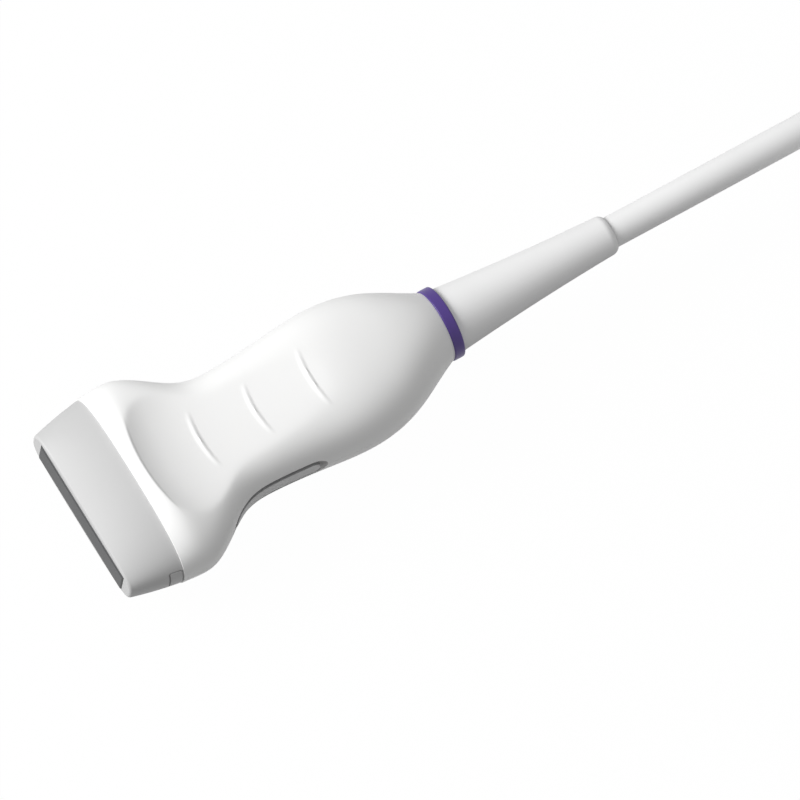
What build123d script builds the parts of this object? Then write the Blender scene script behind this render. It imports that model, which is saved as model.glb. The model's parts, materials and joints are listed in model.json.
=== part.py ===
from build123d import *
import math
import os

os.makedirs("parts", exist_ok=True)

# Linear-array ultrasound probe with its cable and plug, in millimetres.
# It lies on the back of its handle, with the acoustic face towards +X.

# Lengths along the handle's own axis
shell_length = 86.5
nose_length = 13.6
lens_proud = 0.3
ring_width = 2.85
boot_length = 46.5

# The row of elements sets the length of the lens and so the width of the nose and head
element_count = 128
element_pitch = 0.3
lens_margin = 0.2
nose_side = 3.6
array_length = element_count * element_pitch
lens_length = array_length + 2 * lens_margin
nose_half_width = lens_length / 2 + nose_side

# Sections of handle and nose: half width, half height, squareness (0.552 is an ellipse)
NECK = (9.15, 9.15, 0.552)
BULGE = (18.4, 15.6, 0.62)
SLOPE = (17.5, 14.2, 0.67)
WAIST = (16.5, 12.3, 0.74)
HOLLOW = (18.0, 11.5, 0.76)
SHOULDER = (nose_half_width - 0.5, 11.6, 0.76)
HEAD = (nose_half_width + 3.0, 12.4, 0.76)
FLARE = (nose_half_width + 3.2, 12.95, 0.76)
SEAM = (nose_half_width + 2.9, 11.6, 0.72)
NOSE_MIDDLE = (nose_half_width + 1.6, 9.1, 0.79)
NOSE_FRONT = (nose_half_width, 5.8, 0.9)

# Sections of the raised rim in front of the finger recess
RIM_BACK = (nose_half_width + 2.3, 13.5, 0.64)
RIM_CREST = (nose_half_width + 3.0, 13.65, 0.65)
RIM_FRONT = (nose_half_width + 2.8, 11.75, 0.68)

# Handle shells
wall = 2.2
neck_wall = 2.4
lip_height = 1.2
lip_share = 0.6
fit_gap = 0.12
spigot_length = 6.0
post_radius = 1.8

# Crescent front of the finger recess on each broad face, and the ridges in it
recess_front_back = 4.0
recess_bend = 53.0
recess_draft = 42.0
recess_depth = 6.0
crest_round = 0.5
ridge_back = (18.4, 33.2, 49.4)
ridge_length = (14.0, 11.4, 14.0)
ridge_bow = 1.2
ridge_size = (1.9, 0.55)
ridge_tilt = 14.0
ridge_height = 0.5
ridge_sunk = 0.3
ridge_overrun = 1.2

# Side grip strips
grip_front_back = 16.5
grip_length = 31.0
grip_width = 3.6
grip_depth = 1.0
grip_gap = 0.45
grip_sunk = 0.25

# Acoustic stack
lens_width = 8.0
lens_flange = 0.6
lens_flange_thickness = 1.0
lens_edge = 0.5
nose_front_wall = 2.0
nose_edge = 0.8
nose_set_in = 0.12
element_kerf = 0.06
element_width = 6.4
element_thickness = 0.6
dice_depth = 0.45
matching_thickness = 0.3
backing_depth = 9.0
frame_behind = 1.0
flex_thickness = 0.2
flex_straight = 11.0
flex_taper = 7.0
flex_overlap = 7.0
flex_tongue_width = 18.0
flex_edge = 0.8
marker_length = 3.8
marker_height = 9.4
marker_corner = 0.8
marker_groove = 0.4
marker_groove_depth = 0.5

# Boards and wiring
board_thickness = 1.2
board_length = 36.0
board_width = 22.0
board_behind_seam = 8.0
board_corner = 1.5
post_inset = (10.0, 31.0)
post_spread = 17.0
socket_length = 4.0
socket_width = 13.0
socket_height = 1.6
socket_inset = (18.0, 30.0)
socket_edge = 0.3
cable_jacket = 0.8
bundle_width = 18.0
bundle_reach = 5.0
bundle_lead = 2.0

# Neck, ring, boot and cable
cable_diameter = 8.0
cable_gap = 0.05
ring_radius = 9.5
ring_edge = 0.35
bush_radius = 6.4
bush_flange_radius = 7.4
bush_flange = 2.0
bush_tail = 9.0
boot_front_radius = 8.5
boot_end_radius = 5.15
boot_hollow = 0.35
boot_round = 1.6
mouth_gap = 0.35
mouth_depth = 2.0
clamp_length = 6.0
clamp_radius = 5.6
clamp_edge = 0.5
tail_past_clamp = 3.0
straight_run = 56.0

# Hank of put-away cable and its ties
near_fold = (-159.0, 30.0)
hank_straight = 144.0
fold_radius = 24.0
hank_wide = 2
hank_high = 2
tie_thickness = 1.2
tie_width = 12.0
tie_inset = 26.0
hank_round = 0.8

# Cable routes, past the straight stretch behind the boot and from the hank to the plug
arc_share = 0.45
run_points = [(-160.0, -1.0, 19.2), (-190.0, -2.0, 14.6), (-216.0, -2.2, 13.2)]
end_points = [
    (-200.0, -0.8, 6.4),
    (-224.0, -3.0, 6.2),
    (-254.0, -11.2, 4.6),
    (-282.0, -11.8, 5.4),
    (-300.0, -11.8, 10.0),
]

# Plug
plug_x = -332.0
plug_y = -11.8
plug_length = 34.0
plug_width = 30.0
plug_height = 20.0
plug_wall = 1.8
plug_corner = 5.0
plug_edge = 1.2
plug_boot_length = 15.0
plug_boot_radius = 6.6
plug_boot_end = 5.2
plug_boot_flange = 1.6
shroud_length = 9.0
shroud_width = 22.0
shroud_height = 10.0
shroud_wall = 0.8
shroud_root = 4.0
shroud_corner = 1.5
pin_cover = 4.5
pin_rows = 4
pin_columns = 13
pin_pitch = 1.4
pin_size = 0.5
pin_length = 3.0
screw_radius = 1.5
screw_head_radius = 2.4
screw_head = 1.4
screw_length = 12.0
screw_spread = (16.0, 20.0)
screw_boss = 3.4

# Derived places on the handle's axis, from the middle of the ring forward
ring_front = ring_width / 2
ring_back = -ring_width / 2
seam_x = ring_front + shell_length
nose_front_x = seam_x + nose_length
lens_face_x = nose_front_x + lens_proud
boot_end_x = ring_back - boot_length
recess_front_x = seam_x - recess_front_back


def mix(first, second, share):
    """A section between two others."""
    return tuple(p + (q - p) * share for p, q in zip(first, second))


# Sections from the neck to the seam, each at its share of the shell's length
STATIONS = (
    (0.0, NECK),
    (0.05, mix(NECK, BULGE, 0.22)),
    (0.12, mix(NECK, BULGE, 0.57)),
    (0.2, mix(NECK, BULGE, 0.85)),
    (0.304, BULGE),
    (0.466, SLOPE),
    (0.63, WAIST),
    (0.735, HOLLOW),
    (0.82, SHOULDER),
    (0.9, HEAD),
    (0.95, FLARE),
    (1.0, SEAM),
)
RIM_STATIONS = ((0.88, RIM_BACK), (0.945, RIM_CREST), (1.0, RIM_FRONT))

# The handle leans nose down until its bulge and the rim of its head both touch the table
bulge_x = ring_front + STATIONS[4][0] * shell_length
lean = math.degrees(math.atan2(BULGE[1] - RIM_CREST[1], recess_front_x - bulge_x))
lift = BULGE[1] * math.cos(math.radians(lean)) + bulge_x * math.sin(math.radians(lean))
middle_x = (lens_face_x + boot_end_x) / 2 * math.cos(math.radians(lean))
axis = Plane((-middle_x, 0, lift)).rotated((0, lean, 0))
handle_axis = Axis(axis.origin, axis.x_dir)
side = Plane(axis.origin, x_dir=axis.x_dir, z_dir=-axis.y_dir)
upright = Plane(axis.origin, x_dir=axis.x_dir, z_dir=axis.y_dir)


def station(x):
    """Plane across the handle, drawn as seen from the front, with up as up."""
    return Plane(axis.from_local_coords((x, 0, 0)), x_dir=axis.y_dir, z_dir=axis.x_dir)


def flat(height):
    """Plane along the handle, parallel to its broad faces."""
    return axis.offset(height)


def section(x, half_width, half_height, squareness):
    """Face across the handle, bounded by four quarter curves."""
    w, h = half_width, half_height
    cw, ch = w * squareness, h * squareness
    with BuildSketch(station(x)) as face:
        with BuildLine():
            Bezier((w, 0), (w, ch), (cw, h), (0, h))
            Bezier((0, h), (-cw, h), (-w, ch), (-w, 0))
            Bezier((-w, 0), (-w, -ch), (-cw, -h), (0, -h))
            Bezier((0, -h), (cw, -h), (w, -ch), (w, 0))
        make_face()
    return face.sketch


def lofted(stations, inset=0.0):
    """Solid through sections at their shares of the shell's length, set in all round."""
    faces = []
    for share, (half_width, half_height, squareness) in stations:
        x = ring_front + share * shell_length
        faces.append(section(x, half_width - inset, half_height - inset, squareness))
    with BuildPart() as form:
        loft(faces)
    return form.part


outer_form = lofted(STATIONS)
grip_floor_form = lofted(STATIONS, grip_depth)
grip_face_form = lofted(STATIONS, grip_sunk)
cavity_form = lofted(STATIONS, wall)
lip_form = lofted(STATIONS, wall * lip_share)
rebate_form = lofted(STATIONS, wall * lip_share - fit_gap)
spigot_form = lofted(STATIONS, wall + fit_gap)

# Raised rim in front of the recess, cut back to a crescent by a cone and rounded at its crest
with BuildPart() as rim:
    add(lofted(RIM_STATIONS))
    split(bisect_by=axis, keep=Keep.TOP)
    spread = recess_depth * math.tan(math.radians(recess_draft))
    with Locations(axis * Pos(recess_front_x - recess_bend, 0, RIM_CREST[1])):
        Cone(recess_bend - spread, recess_bend + spread, 2 * recess_depth, mode=Mode.SUBTRACT)
    crest = rim.edges().sort_by(Axis(axis.origin, axis.z_dir))[-1]
    fillet(crest, crest_round)


def top_height(x, y):
    """Height of the recess floor over the axis."""
    ray = Axis(axis.from_local_coords((x, y, 0)), axis.z_dir)
    hits = outer_form.find_intersection_points(ray)
    return max(axis.to_local_coords(point).Z for point, normal in hits)


def ridge(back, length):
    """Tilted bead, gentle in front and steep behind, with ends that sink into the recess floor."""
    x = seam_x - back
    end_x = x - ridge_bow * ridge_overrun**2
    end_y = length / 2 * ridge_overrun
    tilt = math.radians(ridge_tilt)
    bead_top = math.hypot(ridge_size[0] * math.sin(tilt), ridge_size[1] * math.cos(tilt))
    z = top_height(x, 0) + ridge_height - bead_top
    end_z = top_height(end_x, end_y) - ridge_sunk - bead_top
    with BuildPart() as bead:
        with BuildLine() as path:
            ThreePointArc(
                axis.from_local_coords((end_x, -end_y, end_z)),
                axis.from_local_coords((x, 0, z)),
                axis.from_local_coords((end_x, end_y, end_z)),
            )
        with BuildSketch(Plane(path.line @ 0, x_dir=axis.x_dir, z_dir=path.line % 0)):
            Ellipse(*ridge_size, rotation=ridge_tilt)
        sweep()
    return bead.part


# Groove round each narrow side, down to a floor that follows the handle's form
grip_middle = seam_x - grip_front_back - grip_length / 2
with BuildPart() as grip_groove:
    with BuildSketch(side):
        with Locations((grip_middle, 0)):
            SlotOverall(grip_length, grip_width)
    extrude(amount=FLARE[0] + wall, both=True)
    add(grip_floor_form, mode=Mode.SUBTRACT)

# Hollow of the handle, closed at the neck apart from the hole for the bush
cavity_back = ring_front + neck_wall
with BuildPart() as cavity:
    add(cavity_form)
    split(bisect_by=station(cavity_back), keep=Keep.TOP)
    with BuildSketch(station(0)):
        Circle(bush_radius + fit_gap)
    extrude(amount=cavity_back + neck_wall)

# Upper half of the handle's closed form, with rim and ridges, from which both shells come
with BuildPart() as handle_half:
    add(outer_form)
    split(bisect_by=axis, keep=Keep.TOP)
    add(rim.part)
    for back, length in zip(ridge_back, ridge_length):
        add(ridge(back, length))
    add(cavity.part, mode=Mode.SUBTRACT)
    add(grip_groove.part, mode=Mode.SUBTRACT)

# Posts that hold each board down, from its face up into the wall
board_front = seam_x - board_behind_seam
board_back = board_front - board_length
board_outside = element_width / 2
board_inside = board_outside - board_thickness
with BuildPart() as posts:
    for inset in post_inset:
        post_x = board_front - inset
        with BuildSketch(flat(board_outside)):
            with Locations((post_x, -post_spread / 2), (post_x, post_spread / 2)):
                Circle(post_radius)
        extrude(amount=top_height(post_x, post_spread / 2) - wall / 2 - board_outside)

# Rebate in the top shell, and the lip of the bottom shell that fits it
with BuildPart() as rebate:
    add(rebate_form)
    split(bisect_by=axis, keep=Keep.TOP)
    split(bisect_by=flat(lip_height + fit_gap), keep=Keep.BOTTOM)

with BuildPart() as lip:
    add(lip_form)
    split(bisect_by=axis, keep=Keep.TOP)
    split(bisect_by=flat(lip_height), keep=Keep.BOTTOM)
    add(cavity.part, mode=Mode.SUBTRACT)

with BuildPart() as top_shell:
    add(handle_half.part)
    add(posts.part)
    add(rebate.part, mode=Mode.SUBTRACT)

with BuildPart() as bottom_shell:
    mirror(handle_half.part, about=axis)
    mirror(posts.part, about=axis)
    add(lip.part)

# Grip strips, bedded on the groove floor with a thin gap all round
with BuildPart() as grip_strips:
    with BuildSketch(side):
        with Locations((grip_middle, 0)):
            SlotOverall(grip_length - 2 * grip_gap, grip_width - 2 * grip_gap)
    extrude(amount=FLARE[0] + wall, both=True)
    add(grip_face_form, mode=Mode.INTERSECT)
    add(grip_floor_form, mode=Mode.SUBTRACT)

with BuildPart() as near_grip_strip:
    add(grip_strips.part)
    split(bisect_by=upright, keep=Keep.TOP)

with BuildPart() as far_grip_strip:
    add(grip_strips.part)
    split(bisect_by=upright, keep=Keep.BOTTOM)

# Places in the acoustic stack, from the lens back
flange_front = nose_front_x - nose_front_wall
flange_back = flange_front - lens_flange_thickness
outer_layer_back = flange_back - matching_thickness
inner_layer_back = outer_layer_back - matching_thickness
elements_back = inner_layer_back - element_thickness
backing_back = elements_back - backing_depth
pocket_length = lens_length + 2 * (lens_flange + fit_gap)
pocket_width = lens_width + 2 * (lens_flange + fit_gap)
spigot_back = seam_x - spigot_length



def nose_form(inset=0.0):
    """Wedge in front of the seam, set in all round."""
    faces = []
    places = ((SEAM, nose_set_in, 0), (NOSE_MIDDLE, 0, nose_length / 2), (NOSE_FRONT, 0, nose_length))
    for (half_width, half_height, squareness), step, along in places:
        sizes = (half_width - step - inset, half_height - step - inset, squareness)
        faces.append(section(seam_x + along, *sizes))
    with BuildPart() as form:
        loft(faces)
    return form.part


# Groove round the pad that marks the near side of the nose
with BuildPart() as marker:
    with BuildSketch(side):
        with Locations((seam_x + marker_length / 2, 0)):
            RectangleRounded(marker_length, marker_height, marker_corner)
            pad = (marker_length - 2 * marker_groove, marker_height - 2 * marker_groove)
            RectangleRounded(*pad, marker_corner - marker_groove, mode=Mode.SUBTRACT)
    extrude(amount=-SEAM[0] - wall)
    add(nose_form(marker_groove_depth), mode=Mode.SUBTRACT)

# Nose: a wedge with a window for the lens, a pocket behind it and a spigot into the shells
with BuildPart() as spigot:
    add(spigot_form)
    split(bisect_by=station(spigot_back), keep=Keep.TOP)

with BuildPart() as nose_piece:
    add(nose_form())
    fillet(nose_piece.faces().sort_by(handle_axis)[-1].edges(), nose_edge)
    add(spigot.part)
    with BuildSketch(station(spigot_back)):
        Rectangle(pocket_length, pocket_width)
    extrude(amount=flange_front - spigot_back, mode=Mode.SUBTRACT)
    with BuildSketch(station(flange_front)):
        Rectangle(lens_length + 2 * fit_gap, lens_width + 2 * fit_gap)
    extrude(amount=nose_length, mode=Mode.SUBTRACT)
    add(marker.part, mode=Mode.SUBTRACT)

# Lens: a flat strip standing just proud, with a flange behind the front wall
with BuildPart() as acoustic_lens:
    with BuildSketch(station(flange_back)):
        Rectangle(lens_length + 2 * lens_flange, lens_width + 2 * lens_flange)
    extrude(amount=lens_flange_thickness)
    with BuildSketch(station(flange_front)):
        Rectangle(lens_length, lens_width)
    extrude(amount=lens_face_x - flange_front)
    fillet(acoustic_lens.faces().sort_by(handle_axis)[-1].edges(), lens_edge)


def slab(back, front):
    """Plate as long and wide as the array, between two places along the handle."""
    with BuildPart() as plate:
        with BuildSketch(station(back)):
            Rectangle(array_length, element_width)
        extrude(amount=front - back)
    return plate


outer_matching_layer = slab(outer_layer_back, flange_back)
inner_matching_layer = slab(inner_layer_back, outer_layer_back)
backing_block = slab(backing_back, elements_back)

# Elements diced from the front, still joined at their backs
with BuildPart() as piezo_array:
    with BuildSketch(station(elements_back)):
        Rectangle(array_length, element_width)
    extrude(amount=element_thickness - dice_depth)
    with BuildSketch(station(elements_back + element_thickness - dice_depth)):
        with GridLocations(element_pitch, 0, element_count, 1):
            Rectangle(element_pitch - element_kerf, element_width)
    extrude(amount=dice_depth)

# Carrier round the stack
frame_opening = element_width + 2 * (flex_thickness + fit_gap)
with BuildPart() as array_frame:
    with BuildSketch(station(backing_back - frame_behind)):
        Rectangle(pocket_length - 2 * fit_gap, pocket_width - 2 * fit_gap)
        Rectangle(array_length + 2 * fit_gap, frame_opening, mode=Mode.SUBTRACT)
    extrude(amount=flange_back - backing_back + frame_behind)

# Flexible circuits along both sides of the backing and onto the boards
flex_front = elements_back
flex_shoulder = flex_front - flex_straight
flex_neck = flex_shoulder - flex_taper
flex_end = board_front - flex_overlap
half_root = array_length / 2 - flex_edge
half_tongue = flex_tongue_width / 2
with BuildPart() as upper_flex:
    with BuildSketch(flat(board_outside)):
        with BuildLine():
            near_edge = Polyline(
                (flex_front, half_root),
                (flex_shoulder, half_root),
                (flex_neck, half_tongue),
                (flex_end, half_tongue),
                (flex_end, 0),
            )
            mirror(near_edge, about=Plane.XZ)
            Line((flex_front, half_root), (flex_front, -half_root))
        make_face()
    extrude(amount=flex_thickness)

with BuildPart() as lower_flex:
    mirror(upper_flex.part, about=axis)

# Boards, one above and one below the axis, with low sockets on their outer faces
with BuildPart() as upper_board:
    with BuildSketch(flat(board_inside)):
        with Locations((board_front - board_length / 2, 0)):
            RectangleRounded(board_length, board_width, board_corner)
    extrude(amount=board_thickness)

with BuildPart() as lower_board:
    mirror(upper_board.part, about=axis)

with BuildPart() as board_sockets:
    for inset in socket_inset:
        with BuildSketch(flat(board_outside)):
            with Locations((board_front - inset, 0)):
                Rectangle(socket_length, socket_width)
        extrude(amount=socket_height)
    chamfer(board_sockets.faces().sort_by(Axis(axis.origin, axis.z_dir))[-2:].edges(), socket_edge)
    mirror(board_sockets.part, about=axis)

# Neck: bush through shells, ring and boot, with the cable clamped behind it
cable_radius = cable_diameter / 2
bush_bore = cable_radius + cable_gap
bush_front = cavity_back + bush_flange
bush_back = ring_back - bush_tail
clamp_front = bush_front + clamp_length
tail_front = clamp_front + tail_past_clamp
with BuildPart() as neck_bush:
    with BuildSketch(side):
        with BuildLine():
            Polyline(
                (bush_back, bush_bore),
                (bush_back, bush_radius),
                (cavity_back, bush_radius),
                (cavity_back, bush_flange_radius),
                (bush_front, bush_flange_radius),
                (bush_front, bush_bore),
                close=True,
            )
        make_face()
    revolve(axis=handle_axis)

with BuildPart() as cable_clamp:
    with BuildSketch(station(bush_front)):
        Circle(clamp_radius)
        Circle(bush_bore, mode=Mode.SUBTRACT)
    extrude(amount=clamp_length)
    chamfer(cable_clamp.edges().filter_by(GeomType.CIRCLE).sort_by(SortBy.LENGTH)[-2:], clamp_edge)

with BuildPart() as cable_tail:
    with BuildSketch(station(boot_end_x)):
        Circle(cable_radius)
    extrude(amount=tail_front - boot_end_x)

# Wires fanned from the end of the cable to a flat bundle between the boards
with BuildPart() as coax_bundle:
    with BuildSketch(station(tail_front)):
        Circle(cable_radius - cable_jacket)
    for place in (board_back - bundle_lead, board_back + bundle_reach):
        with BuildSketch(station(place)):
            SlotOverall(bundle_width, 2 * (board_inside - fit_gap))
    loft(ruled=True)

with BuildPart() as neck_ring:
    with BuildSketch(station(ring_back)):
        Circle(ring_radius)
        Circle(bush_radius + fit_gap, mode=Mode.SUBTRACT)
    extrude(amount=ring_width)
    fillet(neck_ring.edges().filter_by(GeomType.CIRCLE).sort_by(SortBy.LENGTH)[-2:], ring_edge)

# Boot: a slightly hollow taper, bored for the bush and the cable, with an open mouth
with BuildPart() as strain_relief:
    with BuildSketch(side):
        with BuildLine():
            shoulder_x = boot_end_x + boot_round
            slope_x = (ring_back + shoulder_x) / 2
            slope_radius = (boot_front_radius + boot_end_radius) / 2 - boot_hollow
            step_x = bush_back - fit_gap
            flank = ThreePointArc(
                (ring_back, boot_front_radius),
                (slope_x, slope_radius),
                (shoulder_x, boot_end_radius),
            )
            mouth = (boot_end_x, bush_bore + mouth_gap)
            TangentArc(flank @ 1, mouth, tangent=flank % 1)
            Polyline(
                mouth,
                (boot_end_x + mouth_depth, bush_bore),
                (step_x, bush_bore),
                (step_x, bush_radius + fit_gap),
                (ring_back, bush_radius + fit_gap),
                flank @ 0,
            )
        make_face()
    revolve(axis=handle_axis)

# Put-away cable: two layers of two turns, folded long, on ties that keep it off the table
fold_width = hank_wide * cable_diameter
fold_inside = fold_radius - cable_radius
fold_outside = fold_inside + fold_width
hank_height = hank_high * cable_diameter
hank_x, hank_y = near_fold
hank_plane = Plane((hank_x - hank_straight / 2, hank_y, tie_thickness))
with BuildPart() as cable_hank:
    with BuildSketch(hank_plane):
        SlotCenterToCenter(hank_straight, 2 * fold_outside)
        SlotCenterToCenter(hank_straight, 2 * fold_inside, mode=Mode.SUBTRACT)
    extrude(amount=hank_height)
    fillet(cable_hank.faces().filter_by(Axis.Z).edges(), cable_radius * hank_round)

with BuildPart() as cable_ties:
    for offset in (tie_inset, hank_straight - tie_inset):
        tie_middle = (hank_x - offset, hank_y, tie_thickness + hank_height / 2)
        with BuildSketch(Plane(tie_middle, x_dir=(0, 1, 0), z_dir=(1, 0, 0))):
            tie_outer = 2 * (fold_outside + tie_thickness)
            Rectangle(tie_outer, hank_height + 2 * tie_thickness)
            Rectangle(2 * fold_outside, hank_height, mode=Mode.SUBTRACT)
        extrude(amount=tie_width / 2, both=True)


def cord_tube(points):
    """Tube along straight runs with the largest arcs that they allow between them."""
    corners = [Vector(point) for point in points]
    runs = [second - first for first, second in zip(corners, corners[1:])]
    radii = []
    for before, after in zip(runs, runs[1:]):
        half_turn = math.radians(before.get_angle(after)) / 2
        radii.append(arc_share * min(before.length, after.length) / math.tan(half_turn))
    with BuildPart() as tube:
        with BuildLine() as path:
            FilletPolyline(*corners, radius=radii)
        with BuildSketch(path.line ^ 0):
            Circle(cable_radius)
        sweep()
    length = path.wire().length
    section_area = math.pi * cable_radius**2
    print("arc radii", [round(radius) for radius in radii], "length", round(length, 1))
    print("volume over section times length", round(tube.part.volume / (section_area * length), 4))
    return tube


# Cable from the boot, straight in line with the handle, then down onto the hank
run_start = axis.from_local_coords((boot_end_x, 0, 0))
run_straight = axis.from_local_coords((boot_end_x - straight_run, 0, 0))
run_tube = cord_tube([run_start, run_straight, *run_points])
with BuildPart() as cable_run:
    add(run_tube.part)
    add(cable_hank.part, mode=Mode.SUBTRACT)
    add(cable_ties.part, mode=Mode.SUBTRACT)

# Last stretch, from the side of the hank to the plug, with no sliver where it leaves the hank
plug_middle = plug_height / 2
plug_mouth = (plug_x + plug_boot_length, plug_y, plug_middle)
end_tube = cord_tube([*end_points, plug_mouth])
hank_side = Plane((hank_x, hank_y - fold_outside, 0), z_dir=(0, -1, 0))
with BuildPart() as cable_end:
    add(end_tube.part)
    split(bisect_by=hank_side, keep=Keep.TOP)
    split(bisect_by=Plane(end_points[1], z_dir=(-1, 0, 0)), keep=Keep.TOP)

# Plug: two shells screwed together round a shrouded contact block
plug_plane = Plane((plug_x, plug_y, plug_middle), x_dir=(0, 1, 0), z_dir=(-1, 0, 0))
with BuildPart() as plug_form:
    with BuildSketch(Plane((plug_x - plug_length / 2, plug_y, 0))):
        RectangleRounded(plug_length, plug_width, plug_corner)
    extrude(amount=plug_height)
    fillet(plug_form.faces().filter_by(Axis.Z).edges(), plug_edge)

with BuildPart() as plug_hollow:
    with BuildSketch(Plane((plug_x - plug_length / 2, plug_y, plug_wall))):
        inside = (plug_length - 2 * plug_wall, plug_width - 2 * plug_wall)
        RectangleRounded(*inside, plug_corner - plug_wall)
    extrude(amount=plug_height - 2 * plug_wall)
    with BuildSketch(plug_plane):
        Circle(plug_boot_radius - plug_boot_flange + fit_gap)
    extrude(amount=plug_wall)
    with BuildSketch(plug_plane.offset(plug_length - shroud_root)):
        Rectangle(shroud_width + 2 * fit_gap, shroud_height + 2 * fit_gap)
    extrude(amount=shroud_root)

screw_grid = (plug_x - plug_length / 2, plug_y)
with BuildPart() as plug_bosses:
    with BuildSketch(Plane((*screw_grid, plug_wall))):
        with GridLocations(*screw_spread, 2, 2):
            Circle(screw_boss)
    extrude(amount=plug_height - 2 * plug_wall)

with BuildPart() as plug_screws:
    with BuildSketch(Plane((*screw_grid, 0))):
        with GridLocations(*screw_spread, 2, 2):
            Circle(screw_head_radius)
    extrude(amount=screw_head)
    with BuildSketch(Plane((*screw_grid, screw_head))):
        with GridLocations(*screw_spread, 2, 2):
            Circle(screw_radius)
    extrude(amount=screw_length)

with BuildPart() as plug_body:
    add(plug_form.part)
    add(plug_hollow.part, mode=Mode.SUBTRACT)
    add(plug_bosses.part)
    add(plug_screws.part, mode=Mode.SUBTRACT)

plug_parting = Plane.XY.offset(plug_middle)
with BuildPart() as plug_lower_shell:
    add(plug_body.part)
    split(bisect_by=plug_parting, keep=Keep.BOTTOM)

with BuildPart() as plug_upper_shell:
    add(plug_body.part)
    split(bisect_by=plug_parting, keep=Keep.TOP)

# Metal shroud, contact block inside it and rows of pins
shroud_back = plug_length - shroud_root
shroud_front = plug_length + shroud_length
with BuildPart() as plug_shroud:
    with BuildSketch(plug_plane.offset(shroud_back)):
        RectangleRounded(shroud_width, shroud_height, shroud_corner)
        inner = (shroud_width - 2 * shroud_wall, shroud_height - 2 * shroud_wall)
        RectangleRounded(*inner, shroud_corner - shroud_wall, mode=Mode.SUBTRACT)
    extrude(amount=shroud_front - shroud_back)

block_face = shroud_front - pin_length - pin_cover
with BuildPart() as contact_block:
    with BuildSketch(plug_plane.offset(shroud_back)):
        RectangleRounded(*inner, shroud_corner - shroud_wall)
    extrude(amount=block_face - shroud_back)

with BuildPart() as contact_pins:
    with BuildSketch(plug_plane.offset(block_face)):
        with GridLocations(pin_pitch, pin_pitch, pin_columns, pin_rows):
            Rectangle(pin_size, pin_size)
    extrude(amount=pin_length)

# Boot of the plug, tapered towards the cable and flanged inside the shells
with BuildPart() as plug_boot:
    with BuildSketch(Plane(plug_plane.origin, x_dir=(1, 0, 0), z_dir=(0, -1, 0))):
        with BuildLine():
            neck = plug_boot_radius - plug_boot_flange
            Polyline(
                (plug_boot_length, cable_radius + cable_gap),
                (plug_boot_length, plug_boot_end),
                (0, plug_boot_radius),
                (0, neck),
                (-plug_wall, neck),
                (-plug_wall, plug_boot_radius),
                (-plug_wall - plug_boot_flange, plug_boot_radius),
                (-plug_wall - plug_boot_flange, cable_radius + cable_gap),
                close=True,
            )
        make_face()
    revolve(axis=Axis(plug_plane.origin, (1, 0, 0)))

with BuildPart() as plug_tail:
    with BuildSketch(plug_plane.offset(-plug_boot_length)):
        Circle(cable_radius)
    extrude(amount=plug_boot_length + plug_wall + plug_boot_flange)

PIECES = {
    "nose_piece": nose_piece,
    "acoustic_lens": acoustic_lens,
    "outer_matching_layer": outer_matching_layer,
    "inner_matching_layer": inner_matching_layer,
    "piezo_array": piezo_array,
    "backing_block": backing_block,
    "array_frame": array_frame,
    "upper_flex": upper_flex,
    "lower_flex": lower_flex,
    "upper_board": upper_board,
    "lower_board": lower_board,
    "board_sockets": board_sockets,
    "coax_bundle": coax_bundle,
    "top_shell": top_shell,
    "bottom_shell": bottom_shell,
    "near_grip_strip": near_grip_strip,
    "far_grip_strip": far_grip_strip,
    "neck_ring": neck_ring,
    "neck_bush": neck_bush,
    "cable_clamp": cable_clamp,
    "strain_relief": strain_relief,
    "cable_tail": cable_tail,
    "cable_run": cable_run,
    "cable_hank": cable_hank,
    "cable_ties": cable_ties,
    "cable_end": cable_end,
    "plug_boot": plug_boot,
    "plug_tail": plug_tail,
    "plug_lower_shell": plug_lower_shell,
    "plug_upper_shell": plug_upper_shell,
    "plug_shroud": plug_shroud,
    "contact_block": contact_block,
    "contact_pins": contact_pins,
    "plug_screws": plug_screws,
}
for name, piece in PIECES.items():
    piece.part.label = name
    export_step(piece.part, f"parts/{name}.step")
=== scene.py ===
"""Linear-array ultrasound probe: handle skin, finishes, cable, straps and stage round the solids."""

import bisect
import json
import math

import bmesh
import bpy
from bpy.props import FloatProperty, FloatVectorProperty, IntProperty, PointerProperty
from bpy.types import Operator, Panel, PropertyGroup
from mathutils import Matrix, Vector


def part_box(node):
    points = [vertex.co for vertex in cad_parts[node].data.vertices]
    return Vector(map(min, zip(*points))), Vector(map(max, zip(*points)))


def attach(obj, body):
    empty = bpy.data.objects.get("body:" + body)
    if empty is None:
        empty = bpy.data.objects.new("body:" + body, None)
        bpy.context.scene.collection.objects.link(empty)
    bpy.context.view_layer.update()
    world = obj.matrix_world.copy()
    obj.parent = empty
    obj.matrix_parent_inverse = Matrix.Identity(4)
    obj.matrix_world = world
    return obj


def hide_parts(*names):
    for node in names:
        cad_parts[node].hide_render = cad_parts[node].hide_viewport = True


bl_info = {
    "name": "Linear Ultrasound Probe",
    "version": (1, 0, 0),
    "blender": (4, 5, 0),
    "location": "View3D > Sidebar > Probe",
    "description": "Handle skin, finishes, cable, straps and stage of a hand-held ultrasound probe",
    "category": "Object",
}

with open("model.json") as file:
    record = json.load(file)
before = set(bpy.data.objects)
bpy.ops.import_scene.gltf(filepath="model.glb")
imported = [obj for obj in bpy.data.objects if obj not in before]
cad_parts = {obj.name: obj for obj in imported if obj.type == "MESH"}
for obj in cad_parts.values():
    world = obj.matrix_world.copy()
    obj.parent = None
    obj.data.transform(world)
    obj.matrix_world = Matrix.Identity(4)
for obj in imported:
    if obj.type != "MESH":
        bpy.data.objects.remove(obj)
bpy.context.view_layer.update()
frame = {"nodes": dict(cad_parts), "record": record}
NODES = frame["nodes"]
MOUNTS = {mount["name"]: mount for mount in frame["record"]["mounts"]}
ROOT = "root"

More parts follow.
